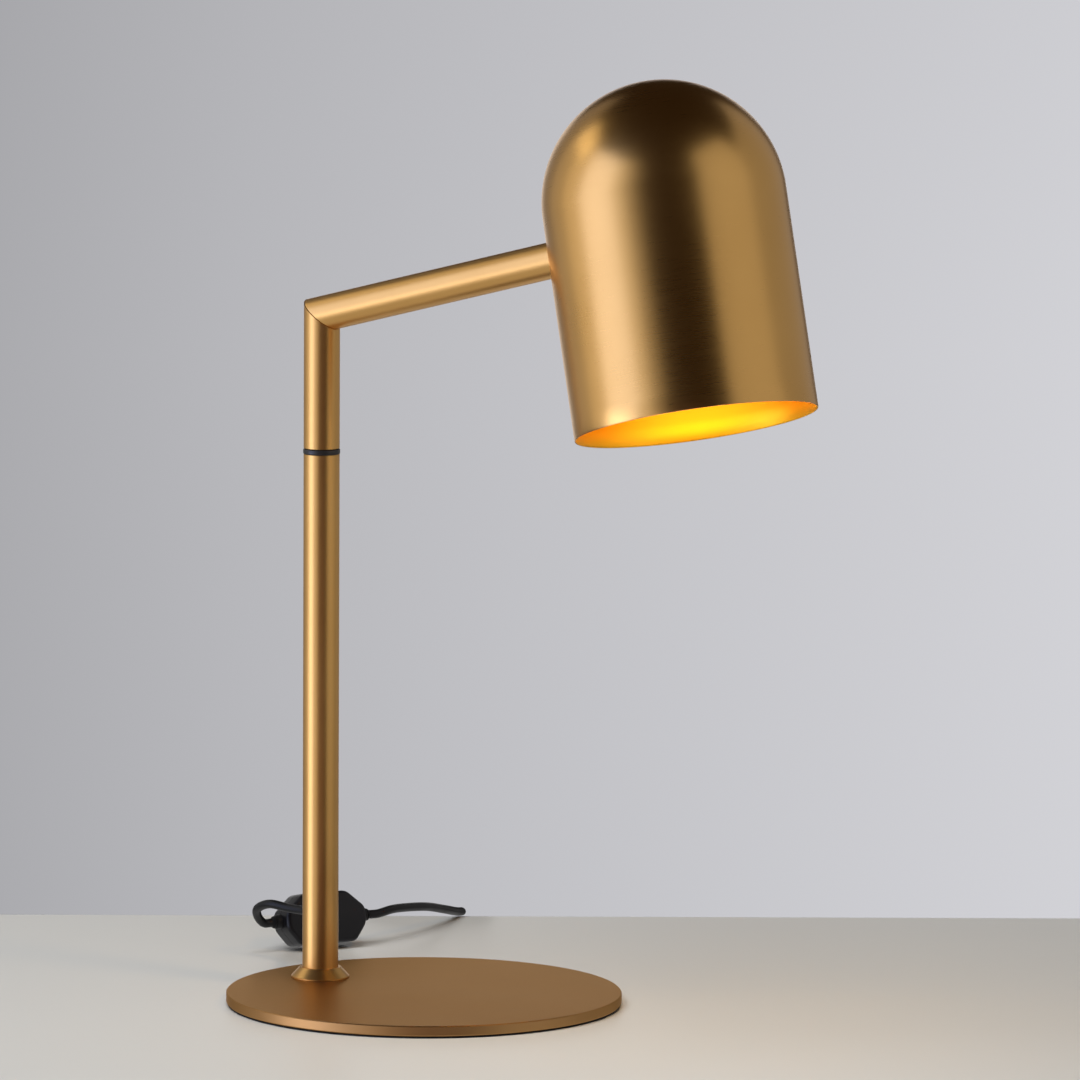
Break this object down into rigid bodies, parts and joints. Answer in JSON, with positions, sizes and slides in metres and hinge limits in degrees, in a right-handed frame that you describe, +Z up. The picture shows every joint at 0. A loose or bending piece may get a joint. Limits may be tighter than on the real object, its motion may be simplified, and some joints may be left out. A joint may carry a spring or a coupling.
{
  "type": "desk lamp",
  "caption": "Brass desk lamp: round flat base, pole with a swivel, straight arm rising from a mitred elbow, bell-shaped head turning on the arm, mains cord with in-line switch and plug.",
  "frame": {"origin": "centre of the base's underside, on the table", "axes": "+Z up; +X from the pole across the base, the way the arm points when it is square to the base"},
  "size_m": [0.497, 0.3748, 0.4733],
  "materials": {
    "base_brass": "fine satin, a darker bronze tone",
    "pad": "black foam",
    "steel": "zinc plated",
    "brass": "satin, lacquered",
    "turned_brass": "turned",
    "black_plastic": "satin black",
    "black_cord": "smooth PVC",
    "lampholder_black": "moulded thermoset",
    "opal_glass": "opal, warm white",
    "nickel": "nickel plated"
  },
  "bodies": {
    "base": {"base_plate": "base_brass", "base_pad": "pad", "foot_washer": "steel", "foot_nut": "steel", "foot_nipple": "steel", "pole_ferrule": "brass", "lower_pole": "brass", "foot_plug": "turned_brass", "swivel_socket": "turned_brass", "swivel_stop_pin": "steel", "swivel_ring": "black_plastic", "cord_boot": "black_cord", "pole_lead": "black_cord", "cord_lead": "black_cord", "switch_front_shell": "black_plastic", "switch_rear_shell": "black_plastic", "switch_screw_1": "steel", "switch_screw_2": "steel", "switch_boot_in": "black_cord", "switch_boot_out": "black_cord", "switch_contacts": "turned_brass", "cord_run": "black_cord", "cord_coil": "black_cord", "cord_tie": "black_plastic", "plug_body": "black_plastic", "plug_boot": "black_cord", "plug_pin_1": "nickel", "plug_pin_2": "nickel"},
    "arm": {"upper_post": "brass", "arm_tube": "brass", "swivel_spigot": "turned_brass", "swivel_lug_washer": "steel", "swivel_spring_washer": "steel", "swivel_nut": "steel", "arm_plug": "turned_brass", "head_stop_pin": "steel", "arm_lead": "black_cord"},
    "head": {"shade": "brass", "head_washer": "black_plastic", "head_spindle": "steel", "head_lug_washer": "steel", "head_spring_washer": "steel", "head_nut": "steel", "head_spacer": "steel", "head_fixing_nut": "steel", "head_bracket": "steel", "lampholder_nipple": "steel", "lampholder_nut": "steel", "lampholder_cap": "lampholder_black", "lampholder_skirt": "lampholder_black", "lampholder_contact": "turned_brass", "bulb_cap": "nickel", "bulb_glass": "opal_glass", "head_lead": "black_cord"},
    "rocker": {"switch_rocker": "black_plastic"}
  },
  "joints": [
    {"name": "arm_swivel", "type": "hinge", "parent": "base", "child": "arm", "pos_m": [-0.0665, 0, 0.278], "axis": [0, 0, 1], "range_deg": [-170.5, 157.4]},
    {"name": "head_roll", "type": "hinge", "parent": "arm", "child": "head", "pos_m": [0.1328, 0.02288, 0.39805], "axis": [0.9614, 0.1104, 0.2521], "range_deg": [-155.9, 172.1]},
    {"name": "rocker_tilt", "type": "hinge", "parent": "base", "child": "rocker", "pos_m": [-0.14997, 0.10086, 0.01364], "axis": [-0.1889, 0.0869, 0.9781], "range_deg": [-14, 0]}
  ]
}
